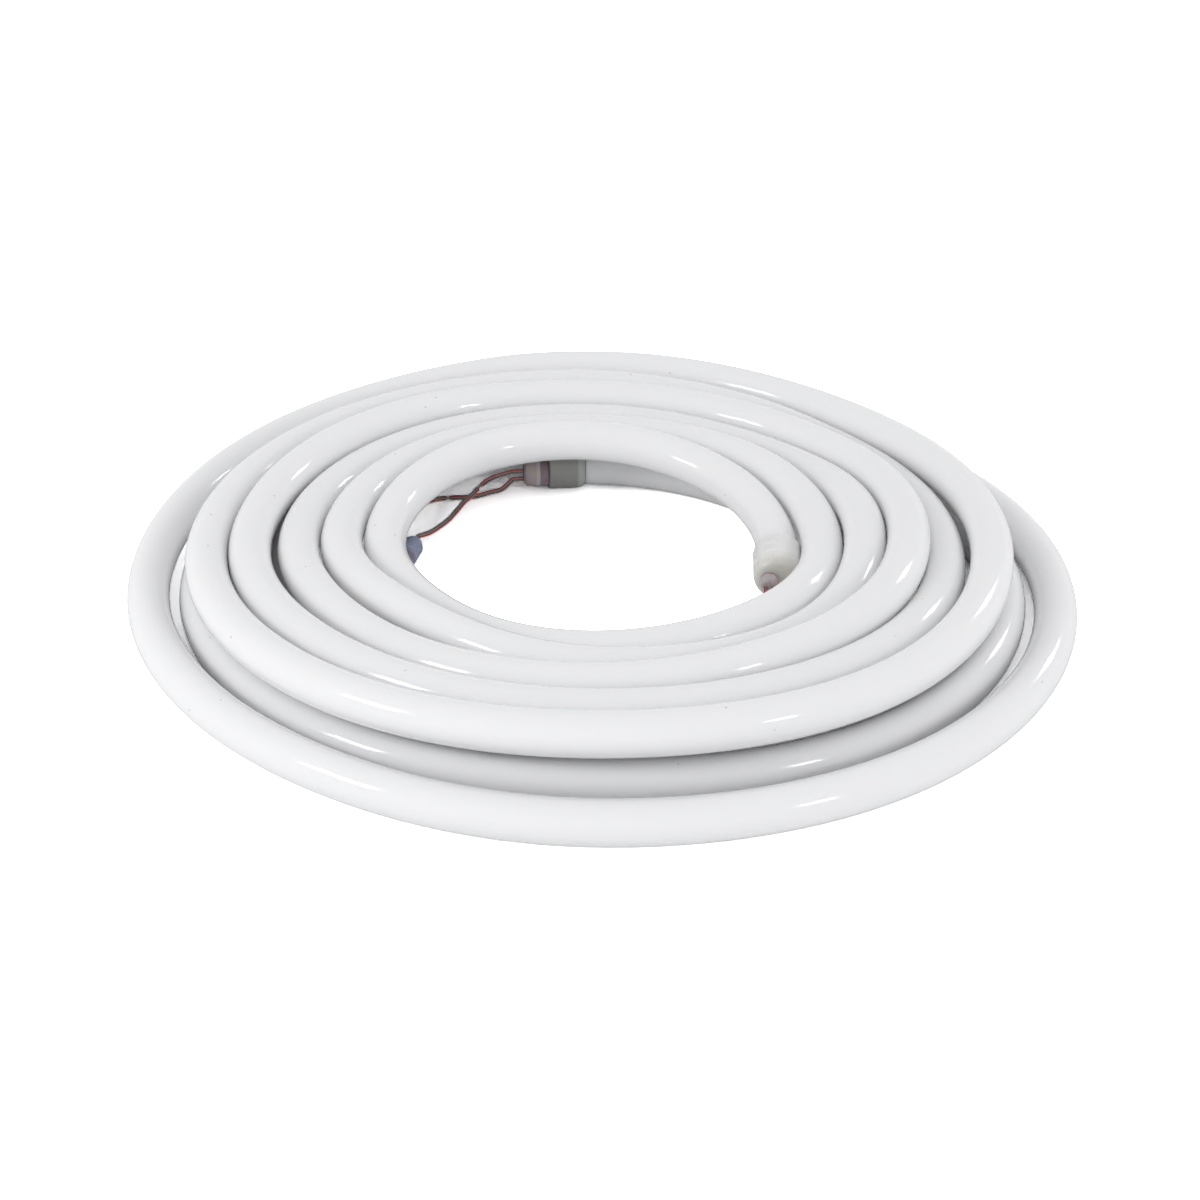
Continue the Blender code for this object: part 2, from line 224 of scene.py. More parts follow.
class BootSettings(PropertyGroup):
    tail_base: length_prop("Tail boot base", "Sleeve's radius at the cap", 0.0056)
    tail_tip: length_prop("Tail boot tip", "Sleeve's radius at the leads", 0.0050)
    tail_length: length_prop("Tail boot length", "From cap to leads", 0.0085)
    tail_neck: length_prop("Tail boot neck", "Length of the neck at the cap", 0.0020)
    tail_side: length_prop("Tail boot offset", "From the cap's middle, towards the eye", 0.0055)
    tail_rise: length_prop("Tail boot rise", "Above the cap's middle", 0.0015)
    feed_base: length_prop("Feed boot base", "Sleeve's radius at the cap", 0.0095)
    feed_tip: length_prop("Feed boot tip", "Sleeve's radius at the leads", 0.0080)
    feed_length: length_prop("Feed boot length", "From cap to leads", 0.016)
    feed_neck: length_prop("Feed boot neck", "Length of the neck at the cap", 0.0055)
    feed_side: length_prop("Feed boot offset", "From the cap's middle, towards the eye", 0.0040)
    feed_drop: length_prop("Feed boot drop", "Below the cap's middle", 0.0025)
    neck_step: length_prop("Neck step", "From the sleeve down to the neck", 0.0005)
    colour: colour_prop("Glue", "Tint of the clear plastic and glue", (0.82, 0.75, 0.75))
    lip: colour_prop("Lip", "Tint of the sleeve's rounded lip", (0.93, 0.90, 0.90))
    shade: colour_prop("Neck", "Tint of the neck, where the leads show", (0.52, 0.42, 0.47))


class LeadSettings(PropertyGroup):
    width: length_prop("Width", "Width of the twin lead", 0.0034)
    thickness: length_prop("Thickness", "Thickness of the twin lead", 0.0017)
    straight: number_prop("Straight", "Straight stretch at each end, in lead widths", 1.8, min=0)
    red: colour_prop("Red core", "Colour of the live core", (0.33, 0.012, 0.020))
    dark: colour_prop("Dark core", "Colour of the other core", (0.150, 0.135, 0.118))
    jacket: colour_prop("Jacket", "Colour of the clear jacket's edges", (0.50, 0.36, 0.32))


class PlugSettings(PropertyGroup):
    length: length_prop("Length", "From lead to front", 0.037)
    neck: length_prop("Neck", "Radius where the lead enters", 0.0032)
    back_radius: length_prop("Back radius", "Radius of the rounded back", 0.0053)
    back_length: length_prop("Back length", "Length of the rounded back", 0.0070)
    radius: length_prop("Nut radius", "Radius of the nut's two rims", 0.0070)
    nut_length: length_prop("Nut length", "Over both rims", 0.0135)
    rim_width: length_prop("Rim width", "Width of a rim", 0.0012)
    rim_height: length_prop("Rim height", "How far a rim stands over the nut", 0.0004)
    front_radius: length_prop("Front radius", "Radius of the plain front", 0.0063)
    edge: length_prop("Front edge", "Size of the front's bevel", 0.0010)
    ribs: count_prop("Ribs", "Grip ribs around the nut", 34, 3)
    rib_width: length_prop("Rib", "Width of a grip rib", 0.0005)
    colour: colour_prop("Plug", "Colour of the translucent plug", (0.40, 0.44, 0.60))
    front_colour: colour_prop("Plug front", "Colour where the contacts show", (0.22, 0.18, 0.26))


class StudioSettings(PropertyGroup):
    distance: length_prop("Distance", "From the lens to the coil's middle", 1.5705)
    elevation: number_prop(
        "Elevation", "Camera's angle above the floor", math.radians(28.4), subtype="ANGLE"
    )
    lens: number_prop("Lens", "Focal length on a 36 mm sensor, in millimetres", 78.64, min=1)
    shift: number_prop("Shift", "Camera's shift, as a share of the frame", 0.00375)
    ambient: number_prop("Ambient", "Strength of the white tent", 0.97, min=0)
    softbox: number_prop("Softboxes", "Power of a full softbox", 3.6, min=0, subtype="POWER")
    floor: number_prop("Floor", "Lightness of the sweep", 0.9, min=0, max=1)
    floor_exposure: number_prop(
        "Floor exposure", "How far the picture overexposes the sweep", 4.0, min=1
    )


def settings(context):
    return context.scene.neon_flex


class FlexSettings(PropertyGroup):
    tube: PointerProperty(type=TubeSettings)
    cap: PointerProperty(type=CapSettings)
    boot: PointerProperty(type=BootSettings)
    lead: PointerProperty(type=LeadSettings)
    plug: PointerProperty(type=PlugSettings)
    studio: PointerProperty(type=StudioSettings)


# Route of the tube


def through_stations(stations, turns):
    """A smooth curve through evenly spaced stations, read at any turn."""
    at = (turns - FIRST_STATION) * COMPASS
    here = np.clip(np.floor(at).astype(int), 1, len(stations) - 3)
    before, start, end, after = (stations[here + step] for step in (-1, 0, 1, 2))
    return smooth_between(before, start, end, after, at - here)


def smooth_between(before, start, end, after, part):
    """A point on the smooth curve from start to end, led by the points around them."""
    return 0.5 * (
        2 * start + (end - before) * part
        + (2 * before - 5 * start + 4 * end - after) * part ** 2
        + (3 * start - before - 3 * end + after) * part ** 3
    )


def floor_height(tube):
    """Height of the tube's centreline where it rests on its flat."""
    return math.sqrt((tube.diameter / 2) ** 2 - (tube.flat_width / 2) ** 2)


def lay_coil(tube):
    """The centreline as the tables give it."""
    turns = TAIL_AT + np.arange(COIL_STEPS + 1) / POINTS_PER_TURN
    reach, rise = (
        through_stations(np.concatenate(table), turns) * tube.diameter for table in (REACH, RISE)
    )
    angle = 2 * math.pi * turns
    height = floor_height(tube) + np.maximum(rise, 0)
    return np.stack([reach * np.cos(angle), reach * np.sin(angle), height], axis=1)


def push_apart(path, need):
    """How each point moves away from the next turn where the two lie too close."""
    along = np.gradient(path, axis=0)
    along /= np.linalg.norm(along, axis=1)[:, None]
    push = np.zeros_like(path)
    for turn in range(POINTS_PER_TURN, len(path), POINTS_PER_TURN):
        for slide in NEIGHBOUR_SLIDES:
            step = min(turn + slide, len(path) - 1)
            apart = path[:-step] - path[step:]
            apart -= (apart * along[step:]).sum(axis=1)[:, None] * along[step:]
            gap = np.linalg.norm(apart, axis=1)
            short = np.where(gap < need, (need - gap) / gap, 0)[:, None] * apart
            short /= len(NEIGHBOUR_SLIDES)
            push[:-step] += short
            push[step:] -= short
    return push


def coil_path(tube):
    """Turns that would meet are eased apart, sideways and up, as they are when a coil settles."""
    lay = lay_coil(tube)
    shift = np.zeros_like(lay)
    for ease_round in range(EASE_ROUNDS):
        shift += push_apart(lay + shift, tube.diameter + TURN_GAP)
        if ease_round < EASE_STIFF_ROUNDS:
            spread = EASE_SPREAD * (shift[:-2] + shift[2:])
            shift[1:-1] = (1 - 2 * EASE_SPREAD) * shift[1:-1] + spread
        shift[:, 2] = np.maximum(shift[:, 2], floor_height(tube) - lay[:, 2])
    path = lay + shift
    last = path[-1] - path[-2]
    path[-1] = path[-2] + last / np.linalg.norm(last) * FEED_END_L
    return path


def coil_middle(path):
    """The middle of the coil's outline, on the floor."""
    middle = (path.min(axis=0) + path.max(axis=0)) / 2
    return Vector((middle[0], middle[1], 0))


def flex_path(tube):
    """The route, brought over the origin as the frame has it."""
    path = coil_path(tube)
    return path - np.array(coil_middle(path))


def smooth_run(knots, steps, straight=()):
    """Points from a route's second knot to its last but one, smooth but for straight stretches."""
    fine = []
    for k in range(1, len(knots) - 2):
        for part in np.arange(steps) / steps:
            if k in straight:
                fine.append(knots[k] * (1 - part) + knots[k + 1] * part)
            else:
                fine.append(smooth_between(*knots[k - 1:k + 3], part))
    return fine


def refine(path, steps):
    """More points on the smooth curve through a route, but not on its straight ends."""
    knots = np.vstack([2 * path[0] - path[1], path, 2 * path[-1] - path[-2]])
    return np.array(smooth_run(knots, steps, (1, len(knots) - 3)) + [path[-1]])


def end_axes(path, end):
    """Where the tube stops, its outward direction there, and the level direction across it."""
    if end == "tail":
        stop, inner = path[0], path[1]
    else:
        stop, inner = path[-1], path[-2]
    heading = Vector(stop - inner).normalized()
    return Vector(stop), heading, heading.cross(Vector((0, 0, 1))).normalized()


# Shapes


def keep(name, mesh, material=None):
    """A finished piece: its place is in its mesh, and it rides on the coil's body."""
    if material:
        mesh.materials.append(material)
    piece = bpy.data.objects.new(name, mesh)
    bpy.context.scene.collection.objects.link(piece)
    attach(piece, BODY)
    return piece


def close_form(form, weld):
    """Join the seams and turn the faces out."""
    bmesh.ops.remove_doubles(form, verts=form.verts, dist=weld)
    bmesh.ops.recalc_face_normals(form, faces=form.faces)


def write_form(form, mesh, sharp):
    """Write the form to its mesh, smooth but for its sharp edges."""
    form.to_mesh(mesh)
    form.free()
    mesh.shade_smooth()
    mesh.set_sharp_from_angle(angle=sharp)
    return mesh


def turned_mesh(name, profile, steps, at, heading):
    """A closed profile of (radius, height) spun about the heading. Finishes can read each height."""
    mesh = bpy.data.meshes.new(name)
    form = bmesh.new()
    points = [form.verts.new((radius, 0, height)) for radius, height in profile]
    edges = [form.edges.new(pair) for pair in zip(points, points[1:])]
    bmesh.ops.spin(
        form, geom=points + edges, cent=(0, 0, 0), axis=(0, 0, 1), angle=2 * math.pi,
        steps=steps, use_merge=True,
    )
    close_form(form, TURNED_WELD)
    height = form.verts.layers.float.new("height")
    for point in form.verts:
        point[height] = point.co.z
    form.transform(heading.normalized().to_track_quat("Z", "Y").to_matrix().to_4x4())
    bmesh.ops.translate(form, verts=form.verts, vec=at)
    return write_form(form, mesh, TURNED_SHARP)


def soften(profile, radii, count=5):
    """Round a profile's corners. Each corner has its own radius, and 0 leaves it sharp."""
    rounded = [profile[0]]
    for k in range(1, len(profile) - 1):
        corner = Vector(profile[k])
        radius = radii.get(k, 0)
        back = Vector(profile[k - 1]) - corner
        on = Vector(profile[k + 1]) - corner
        if not radius:
            rounded.append(tuple(corner))
            continue
        half = back.angle(on) / 2
        reach = min(radius / math.tan(half), CORNER_LIMIT * min(back.length, on.length))
        start = corner + back.normalized() * reach
        end = corner + on.normalized() * reach
        for step in range(count + 1):
            f = step / count
            rounded.append(tuple(start * (1 - f) ** 2 + corner * 2 * f * (1 - f) + end * f ** 2))
    return rounded + [profile[-1]]


def math_node(tree, operation, first, second):
    """A math node between a socket and another socket or a number."""
    node = tree.nodes.new("ShaderNodeMath")
    node.operation = operation
    tree.links.new(first, node.inputs[0])
    if isinstance(second, (int, float)):
        node.inputs[1].default_value = second
    else:
        tree.links.new(second, node.inputs[1])
    return node.outputs[0]


def new_tree(name, inputs):
    """A geometry node tree that takes a geometry, the inputs and a finish."""
    tree = bpy.data.node_groups.new(name, "GeometryNodeTree")
    for title, kind in (("Geometry", "Geometry"), *inputs, ("Finish", "Material")):
        tree.interface.new_socket(title, in_out="INPUT", socket_type="NodeSocket" + kind)
    tree.interface.new_socket("Geometry", in_out="OUTPUT", socket_type="NodeSocketGeometry")
    return tree, tree.nodes.new("NodeGroupInput").outputs


def end_tree(tree, made, finish):
    """Make the tree's geometry real and give it its finish."""
    node, link = tree.nodes.new, tree.links.new
    real = node("GeometryNodeRealizeInstances")
    link(made, real.inputs["Geometry"])
    coat = node("GeometryNodeSetMaterial")
    link(real.outputs["Geometry"], coat.inputs["Geometry"])
    link(finish, coat.inputs["Material"])
    link(coat.outputs["Geometry"], node("NodeGroupOutput").inputs["Geometry"])


def split_position(tree):
    place = tree.nodes.new("GeometryNodeInputPosition")
    split = tree.nodes.new("ShaderNodeSeparateXYZ")
    tree.links.new(place.outputs["Position"], split.inputs["Vector"])
    return split.outputs


def store_number(tree, name, geometry, value):
    store = tree.nodes.new("GeometryNodeStoreNamedAttribute")
    store.inputs["Name"].default_value = name
    tree.links.new(geometry, store.inputs["Geometry"])
    tree.links.new(value, store.inputs["Value"])
    return store.outputs["Geometry"]


def sweep_tree():
    """Geometry nodes: a section follows a route, and nothing of it goes below the floor."""
    tree, given = new_tree(
        "Sweep along route", (("Section", "Object"), ("Half Width", "Float"), ("Floor Height", "Float"))
    )
    node, link = tree.nodes.new, tree.links.new

    section = node("GeometryNodeObjectInfo")
    link(given["Section"], section.inputs["Object"])
    share = math_node(tree, "DIVIDE", split_position(tree)["X"], given["Half Width"])
    across = store_number(tree, "across", section.outputs["Geometry"], share)

    upright = node("GeometryNodeSetCurveNormal")
    upright.mode = "Z_UP"
    link(given["Geometry"], upright.inputs["Curve"])
    progress = node("GeometryNodeSplineParameter")
    along = store_number(tree, "along", upright.outputs["Curve"], progress.outputs["Length"])

    sweep = node("GeometryNodeCurveToMesh")
    sweep.inputs["Fill Caps"].default_value = True
    link(along, sweep.inputs["Curve"])
    link(across, sweep.inputs["Profile Curve"])

    place = split_position(tree)
    settled = node("ShaderNodeCombineXYZ")
    link(place["X"], settled.inputs["X"])
    link(place["Y"], settled.inputs["Y"])
    link(math_node(tree, "MAXIMUM", place["Z"], given["Floor Height"]), settled.inputs["Z"])
    settle = node("GeometryNodeSetPosition")
    link(sweep.outputs["Mesh"], settle.inputs["Geometry"])
    link(settled.outputs["Vector"], settle.inputs["Position"])
    end_tree(tree, settle.outputs["Geometry"], given["Finish"])
    return tree


def rib_tree():
    """Geometry nodes: thin ribs stand in a ring around a grip, one on each point of a circle."""
    tree, given = new_tree(
        "Ring of ribs", (("Count", "Int"), ("Radius", "Float"), ("Rib Size", "Vector"))
    )
    node, link = tree.nodes.new, tree.links.new
    ring = node("GeometryNodeMeshCircle")
    link(given["Count"], ring.inputs["Vertices"])
    link(given["Radius"], ring.inputs["Radius"])
    bar = node("GeometryNodeMeshCube")
    link(given["Rib Size"], bar.inputs["Size"])
    place = node("GeometryNodeInputPosition")
    outward = node("FunctionNodeAlignRotationToVector")
    outward.axis = "X"
    outward.pivot_axis = "Z"
    link(place.outputs["Position"], outward.inputs["Vector"])
    stand = node("GeometryNodeInstanceOnPoints")
    link(ring.outputs["Mesh"], stand.inputs["Points"])
    link(bar.outputs["Mesh"], stand.inputs["Instance"])
    link(outward.outputs["Rotation"], stand.inputs["Rotation"])
    end_tree(tree, stand.outputs["Instances"], given["Finish"])
    return tree


def shaped_by(tree, base, values, name):
    """Run a node tree on a base object and take the result as a plain mesh."""
    bpy.context.scene.collection.objects.link(base)
    modifier = base.modifiers.new("shape", "NODES")
    modifier.node_group = tree
    for item in tree.interface.items_tree:
        if item.in_out == "INPUT" and item.name in values:
            modifier[item.identifier] = values[item.name]
    base.update_tag()
    seen = base.evaluated_get(bpy.context.evaluated_depsgraph_get())
    mesh = bpy.data.meshes.new_from_object(seen)
    mesh.name = name
    bpy.data.objects.remove(base, do_unlink=True)
    return mesh


def route_curve(name, points, tilts=None, closed=False):
    """A straight-lined curve through the points."""
    curve = bpy.data.curves.new(name, "CURVE")
    curve.dimensions = "3D"
    spline = curve.splines.new("POLY")
    spline.points.add(len(points) - 1)
    for k, place in enumerate(points):
        spline.points[k].co = (*place, 1)
        if tilts is not None:
            spline.points[k].tilt = tilts[k]
    spline.use_cyclic_u = closed
    return bpy.data.objects.new(name, curve)


def swept_mesh(name, points, outline, half_width, material, tilts=None):
    """A section swept along a route with geometry nodes, faces out and caps closed."""
    section = route_curve(name + "_section", [(x, y, 0) for x, y in outline], closed=True)
    bpy.context.scene.collection.objects.link(section)
    tree = bpy.data.node_groups.get("Sweep along route") or sweep_tree()
    values = {
        "Section": section, "Half Width": half_width, "Floor Height": 0.0, "Finish": material
    }
    mesh = shaped_by(tree, route_curve(name + "_route", points, tilts), values, name)
    bpy.data.objects.remove(section, do_unlink=True)
    form = bmesh.new()
    form.from_mesh(mesh)
    close_form(form, SWEPT_WELD)
    return write_form(form, mesh, SWEPT_SHARP)


def circle_outline(radius, sides):
    turns = 2 * math.pi * np.arange(sides) / sides
    return [(radius * math.sin(turn), -radius * math.cos(turn)) for turn in turns]


def twin_outline(lead):
    """Two round cores side by side, joined by a thin web: the section of a twin lead."""
    core = lead.thickness / 2
    middle = lead.width / 2 - core
    reach = math.pi - math.acos(min(1, middle / core * WEB_AT))
    turns = np.linspace(-reach, reach, CORE_POINTS)
    right = [(middle + core * math.cos(turn), core * math.sin(turn)) for turn in turns]
    left = [(-x, -y) for x, y in right]
    return right + left


# Finishes


def set_inputs(node, values):
    for name, value in values.items():
        node.inputs[name].default_value = value


def new_finish(name, colour, roughness, values):
    """A material, and its shader with these values in its inputs."""
    material = bpy.data.materials.new(name)
    material.use_nodes = True
    shader = material.node_tree.nodes["Principled BSDF"]
    set_inputs(shader, {"Base Color": (*colour, 1), "Roughness": roughness, **values})
    return material, shader


def mottle(material, scale, low, high, detail=4.0):
    """Soft noise between two values, on the object's own coordinates."""
    nodes, links = material.node_tree.nodes, material.node_tree.links
    where = nodes.new("ShaderNodeTexCoord")
    noise = nodes.new("ShaderNodeTexNoise")
    set_inputs(noise, {"Scale": scale, "Detail": detail})
    spread = nodes.new("ShaderNodeMapRange")
    set_inputs(spread, {"From Min": 0.3, "From Max": 0.7, "To Min": low, "To Max": high})
    links.new(where.outputs["Object"], noise.inputs["Vector"])
    links.new(noise.outputs["Fac"], spread.inputs["Value"])
    return spread.outputs["Result"]


def add_bump(material, shader, height, strength, distance):
    """Let a height move the shader's normal, for relief of a given depth."""
    bump = material.node_tree.nodes.new("ShaderNodeBump")
    set_inputs(bump, {"Strength": strength, "Distance": distance})
    material.node_tree.links.new(height, bump.inputs["Height"])
    material.node_tree.links.new(bump.outputs["Normal"], shader.inputs["Normal"])


def shade_along(material, shader, length, stops):
    """Colours from a turned piece's foot to its end, by the height that its mesh keeps."""
    nodes, links = material.node_tree.nodes, material.node_tree.links
    height = nodes.new("ShaderNodeAttribute")
    height.attribute_name = "height"
    bands = colour_ramp(material, stops)
    share = math_node(material.node_tree, "DIVIDE", height.outputs["Fac"], length)
    links.new(share, bands.inputs["Fac"])
    links.new(bands.outputs["Color"], shader.inputs["Base Color"])


def colour_ramp(owner, stops):
    """A colour ramp node with a colour at each place from 0 to 1."""
    bands = owner.node_tree.nodes.new("ShaderNodeValToRGB")
    ramp = bands.color_ramp
    ramp.elements[0].position = stops[0][0]
    ramp.elements[1].position = stops[-1][0]
    for place, colour in stops[1:-1]:
        ramp.elements.new(place).color = (*colour, 1)
    ramp.elements[0].color = (*stops[0][1], 1)
    ramp.elements[-1].color = (*stops[-1][1], 1)
    return bands


def milky_finish(tube):
    """Glossy milky silicone: light goes a few millimetres in, with faint handling marks and dust."""
    material, shader = new_finish("milky_silicone", tube.colour, 0.2, {
        "Subsurface Weight": 0.9, "Subsurface Radius": (1.0, 0.97, 0.94),
        "Subsurface Scale": 0.012, "IOR": SOFT_PLASTIC_IOR,
    })
    nodes, links = material.node_tree.nodes, material.node_tree.links
    links.new(mottle(material, scale=28, low=0.07, high=0.14), shader.inputs["Roughness"])
    waves = mottle(material, scale=90, low=0, high=1, detail=2.0)
    add_bump(material, shader, waves, strength=0.05, distance=0.0004)

    where = nodes.new("ShaderNodeTexCoord")
    specks = nodes.new("ShaderNodeTexVoronoi")
    specks.inputs["Scale"].default_value = SPECK_SCALE
    tint = nodes.new("ShaderNodeMix")
    tint.data_type = "RGBA"
    set_inputs(tint, {"A": (*tube.colour, 1), "B": (*SPECK_COLOUR, 1)})
    links.new(where.outputs["Object"], specks.inputs["Vector"])
    speck = math_node(material.node_tree, "LESS_THAN", specks.outputs["Distance"], SPECK_SIZE)
    links.new(speck, tint.inputs["Factor"])
    links.new(tint.outputs["Result"], shader.inputs["Base Color"])
    return material


def cap_finish(name, colour, roughness, glow):
    """Moulded cap: satin plastic with a fine grain, and light that goes a little way in."""
    material, shader = new_finish(name, colour, roughness, {
        "Subsurface Weight": glow, "Subsurface Radius": (1, 0.95, 0.9), "Subsurface Scale": 0.003,
    })
    wear = mottle(material, scale=120, low=roughness - 0.06, high=roughness + 0.08)
    material.node_tree.links.new(wear, shader.inputs["Roughness"])
    grain = mottle(material, scale=900, low=0, high=1, detail=3.0)
    add_bump(material, shader, grain, strength=0.12, distance=0.0001)
    return material, shader


def glue_finish(colour):
    """Clear soft plastic with glue set inside it."""
    material, shader = new_finish("clear_boot", colour, 0.16, {
        "Transmission Weight": 0.5, "Subsurface Weight": 0.8, "Subsurface Scale": 0.003,
        "IOR": SOFT_PLASTIC_IOR,
    })
    lumps = mottle(material, scale=420, low=0, high=1, detail=3.0)
    add_bump(material, shader, lumps, strength=0.25, distance=0.0004)
    return material, shader


def boot_finish(boot, length, neck):
    """Glue-filled plastic: a dark neck, a pale lip and a pinkish sleeve."""
    material, shader = glue_finish(boot.colour)
    split = neck / length
    shade_along(material, shader, length, (
        (0.0, boot.shade), (split * 0.95, boot.shade), (split * 1.05, boot.lip),
        (split * 1.3, boot.lip), (split * 1.5, boot.colour), (1.0, boot.colour),
    ))
    return material


def lead_finish(lead):
    """Twin lead: a red core and a dark core under a clear jacket, told apart across the ribbon."""
    material, shader = new_finish(
        "twin_lead", lead.red, 0.3, {"Coat Weight": 0.5, "Coat Roughness": 0.15}
    )
    nodes, links = material.node_tree.nodes, material.node_tree.links
    across = nodes.new("ShaderNodeAttribute")
    across.attribute_name = "across"
    share = nodes.new("ShaderNodeMapRange")
    set_inputs(share, {"From Min": -1, "From Max": 1})
    bands = colour_ramp(material, (
        (0.00, lead.jacket), (0.05, lead.jacket), (0.10, lead.dark), (0.48, lead.dark),
        (0.53, lead.jacket), (0.58, lead.jacket), (0.64, lead.red), (0.85, lead.red),
        (0.91, lead.jacket), (1.00, lead.jacket),
    ))
    links.new(across.outputs["Fac"], share.inputs["Value"])
    links.new(share.outputs["Result"], bands.inputs["Fac"])
    links.new(bands.outputs["Color"], shader.inputs["Base Color"])
    return material


def plug_finish(plug):
    """Blue-grey translucent plastic, darker and redder at the front, where the contacts show."""
    material, shader = new_finish("blue_plug", plug.colour, 0.22, {
        "Transmission Weight": 0.25, "Subsurface Weight": 0.2, "Subsurface Scale": 0.002,
    })
    nut = (plug.length - plug.back_length - plug.nut_length) / plug.length
    shade_along(material, shader, plug.length, (
        (0.0, plug.colour), (0.05, plug.front_colour), (nut * 0.8, plug.front_colour),
        (nut, plug.colour), (1.0, plug.colour),
    ))
    haze = mottle(material, scale=300, low=0.16, high=0.30)
    material.node_tree.links.new(haze, shader.inputs["Roughness"])
    return material


# Operators


class NEONFLEX_OT_stage(Operator):
    """Set up the white sweep, the soft tent of light and the camera"""

    bl_idname = "neon_flex.stage"
    bl_label = "Studio"

    def execute(self, context):
        studio = settings(context).studio
        middle = -coil_middle(coil_path(settings(context).tube))
        self.add_camera(context, studio, middle)
        self.add_floor(context, studio)
        self.add_lights(context, studio, middle)
        context.scene.view_settings.view_transform = "Standard"
        return {"FINISHED"}

    def add_camera(self, context, studio, middle):
        lens = bpy.data.cameras.new("camera")
        lens.lens = studio.lens
        lens.sensor_width = SENSOR_WIDTH
        lens.shift_x = studio.shift
        lens.shift_y = -studio.shift
        camera = bpy.data.objects.new("camera", lens)
        back = Vector((0, -math.cos(studio.elevation), math.sin(studio.elevation)))
        camera.location = middle + back * studio.distance
        camera.rotation_euler = (math.pi / 2 - studio.elevation, 0, 0)
        context.scene.collection.objects.link(camera)
        context.scene.camera = camera

    def add_floor(self, context, studio):
        mesh = bpy.data.meshes.new("floor")
        form = bmesh.new()
        bmesh.ops.create_grid(form, x_segments=1, y_segments=1, size=FLOOR_REACH)
        bmesh.ops.translate(form, verts=form.verts, vec=(0, 0, -FLOOR_DROP))
        form.to_mesh(mesh)
        form.free()
        mesh.materials.append(self.sweep_finish(studio))
        floor = bpy.data.objects.new("floor", mesh)
        context.scene.collection.objects.link(floor)

    def sweep_finish(self, studio):
        """A matt white sweep, overexposed in the picture as in a catalogue photo."""
        material = bpy.data.materials.new("sweep")
        material.use_nodes = True
        nodes, links = material.node_tree.nodes, material.node_tree.links
        nodes.remove(nodes["Principled BSDF"])
        matt = nodes.new("ShaderNodeBsdfDiffuse")
        rays = nodes.new("ShaderNodeLightPath")
        bright = nodes.new("ShaderNodeMapRange")
        set_inputs(bright, {"To Min": studio.floor, "To Max": studio.floor * studio.floor_exposure})
        links.new(rays.outputs["Is Camera Ray"], bright.inputs["Value"])
        links.new(bright.outputs["Result"], matt.inputs["Color"])
        links.new(matt.outputs["BSDF"], nodes["Material Output"].inputs["Surface"])
        return material

    def add_lights(self, context, studio, middle):
        self.add_tent(context, studio)
        for name, azimuth, elevation, width, height, power in SOFTBOXES:
            lamp = bpy.data.lights.new(name, "AREA")
            lamp.shape = "RECTANGLE"
            lamp.size = width
            lamp.size_y = height
            lamp.energy = studio.softbox * power
            light = bpy.data.objects.new(name, lamp)
            turn, rise = math.radians(azimuth), math.radians(elevation)
            toward = Vector((
                math.cos(turn) * math.cos(rise), math.sin(turn) * math.cos(rise), math.sin(rise)
            ))
            light.location = middle + toward * SOFTBOX_DISTANCE
            light.rotation_mode = "QUATERNION"
            light.rotation_quaternion = toward.to_track_quat("Z", "Y")
            context.scene.collection.objects.link(light)

    def add_tent(self, context, studio):
        """White light from all round, strongest near the floor."""
        world = bpy.data.worlds.new("tent")
        world.use_nodes = True
        nodes, links = world.node_tree.nodes, world.node_tree.links
        tent = nodes["Background"]
        tent.inputs["Strength"].default_value = studio.ambient
        where = nodes.new("ShaderNodeTexCoord")
        height = nodes.new("ShaderNodeSeparateXYZ")
        shade = colour_ramp(world, TENT)
        links.new(where.outputs["Generated"], height.inputs["Vector"])
        links.new(height.outputs["Z"], shade.inputs["Fac"])
        links.new(shade.outputs["Color"], tent.inputs["Color"])
        context.scene.world = world


class NEONFLEX_OT_tube(Operator):
    """Sweep the milky tube along the coil and settle its underside on the floor"""

    bl_idname = "neon_flex.tube"
    bl_label = "Flex tube"

    def execute(self, context):
        tube = settings(context).tube
        path = flex_path(tube)
        fine = refine(path, tube.finesse)
        outline = circle_outline(tube.diameter / 2, tube.sides)
        material = milky_finish(tube)
        mesh = swept_mesh("neon_tube", fine, outline, tube.diameter / 2, material)
        piece = keep("neon_tube", mesh)
        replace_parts(piece, "flex_tube")
        tuple(path[0])
        return {"FINISHED"}


